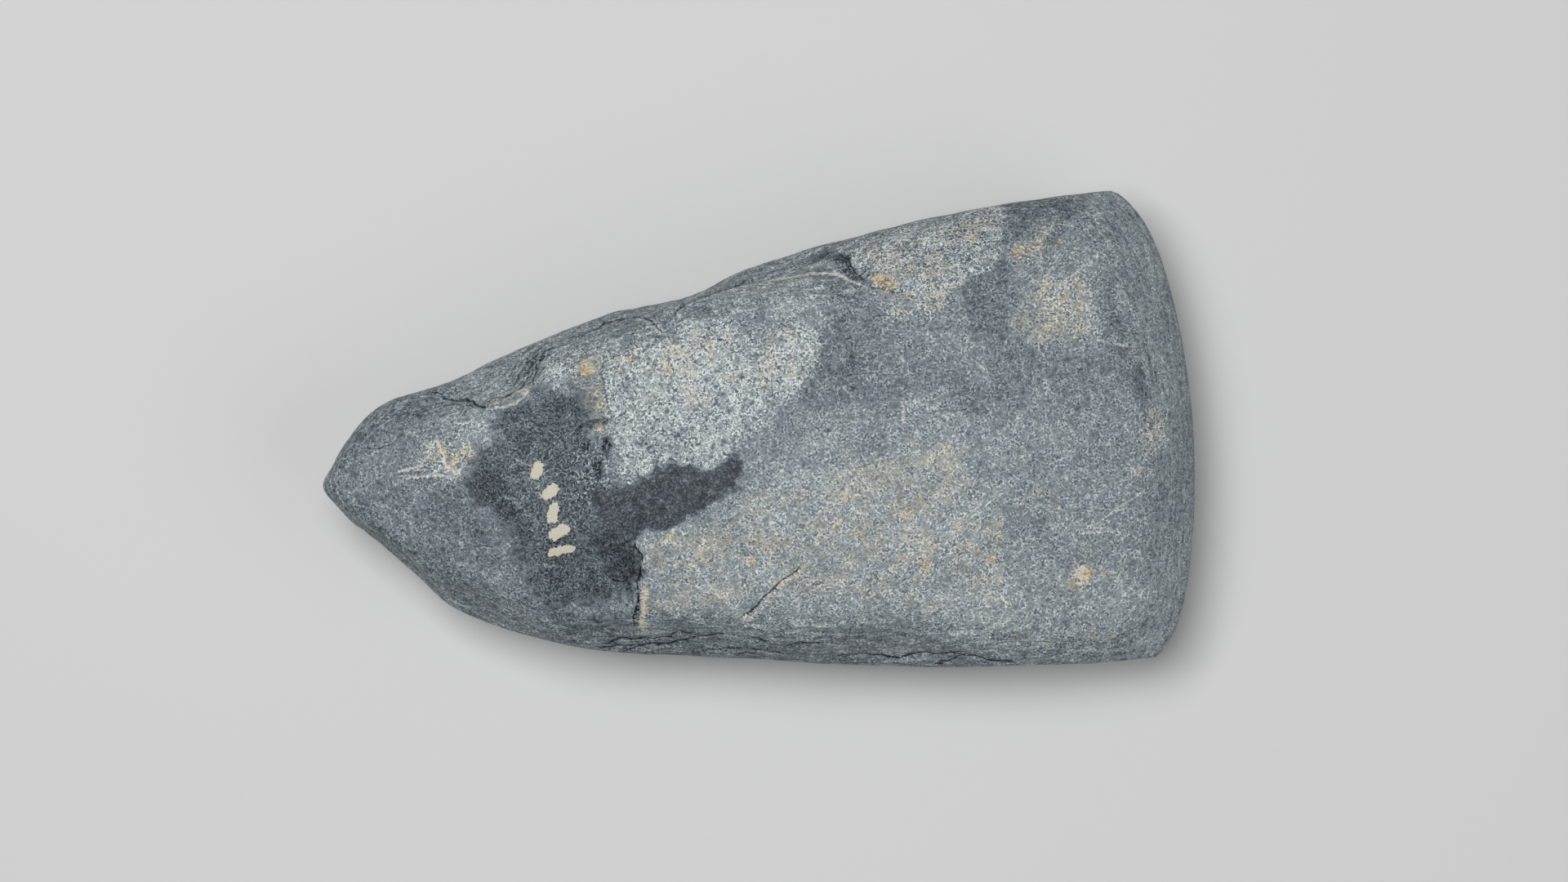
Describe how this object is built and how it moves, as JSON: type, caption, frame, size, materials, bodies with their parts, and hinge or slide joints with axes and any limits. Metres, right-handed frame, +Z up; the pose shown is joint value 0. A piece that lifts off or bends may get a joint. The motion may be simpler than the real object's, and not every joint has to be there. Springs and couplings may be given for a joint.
{
  "type": "polished stone axe head",
  "caption": "Ground and polished stone axe head with a pointed butt, convex faces, flaked flanks and a curved cutting edge.",
  "frame": {"origin": "under the middle of the axe's box, on the surface that the axe lies on", "axes": "+X along the axe from the pointed butt to the cutting edge, +Y across it, +Z up through its two faces"},
  "size_m": [0.1284, 0.0692, 0.0342],
  "materials": {
    "ground_stone": "matte"
  },
  "bodies": {
    "root": {"stone_axe_head": "ground_stone"}
  },
  "joints": []
}
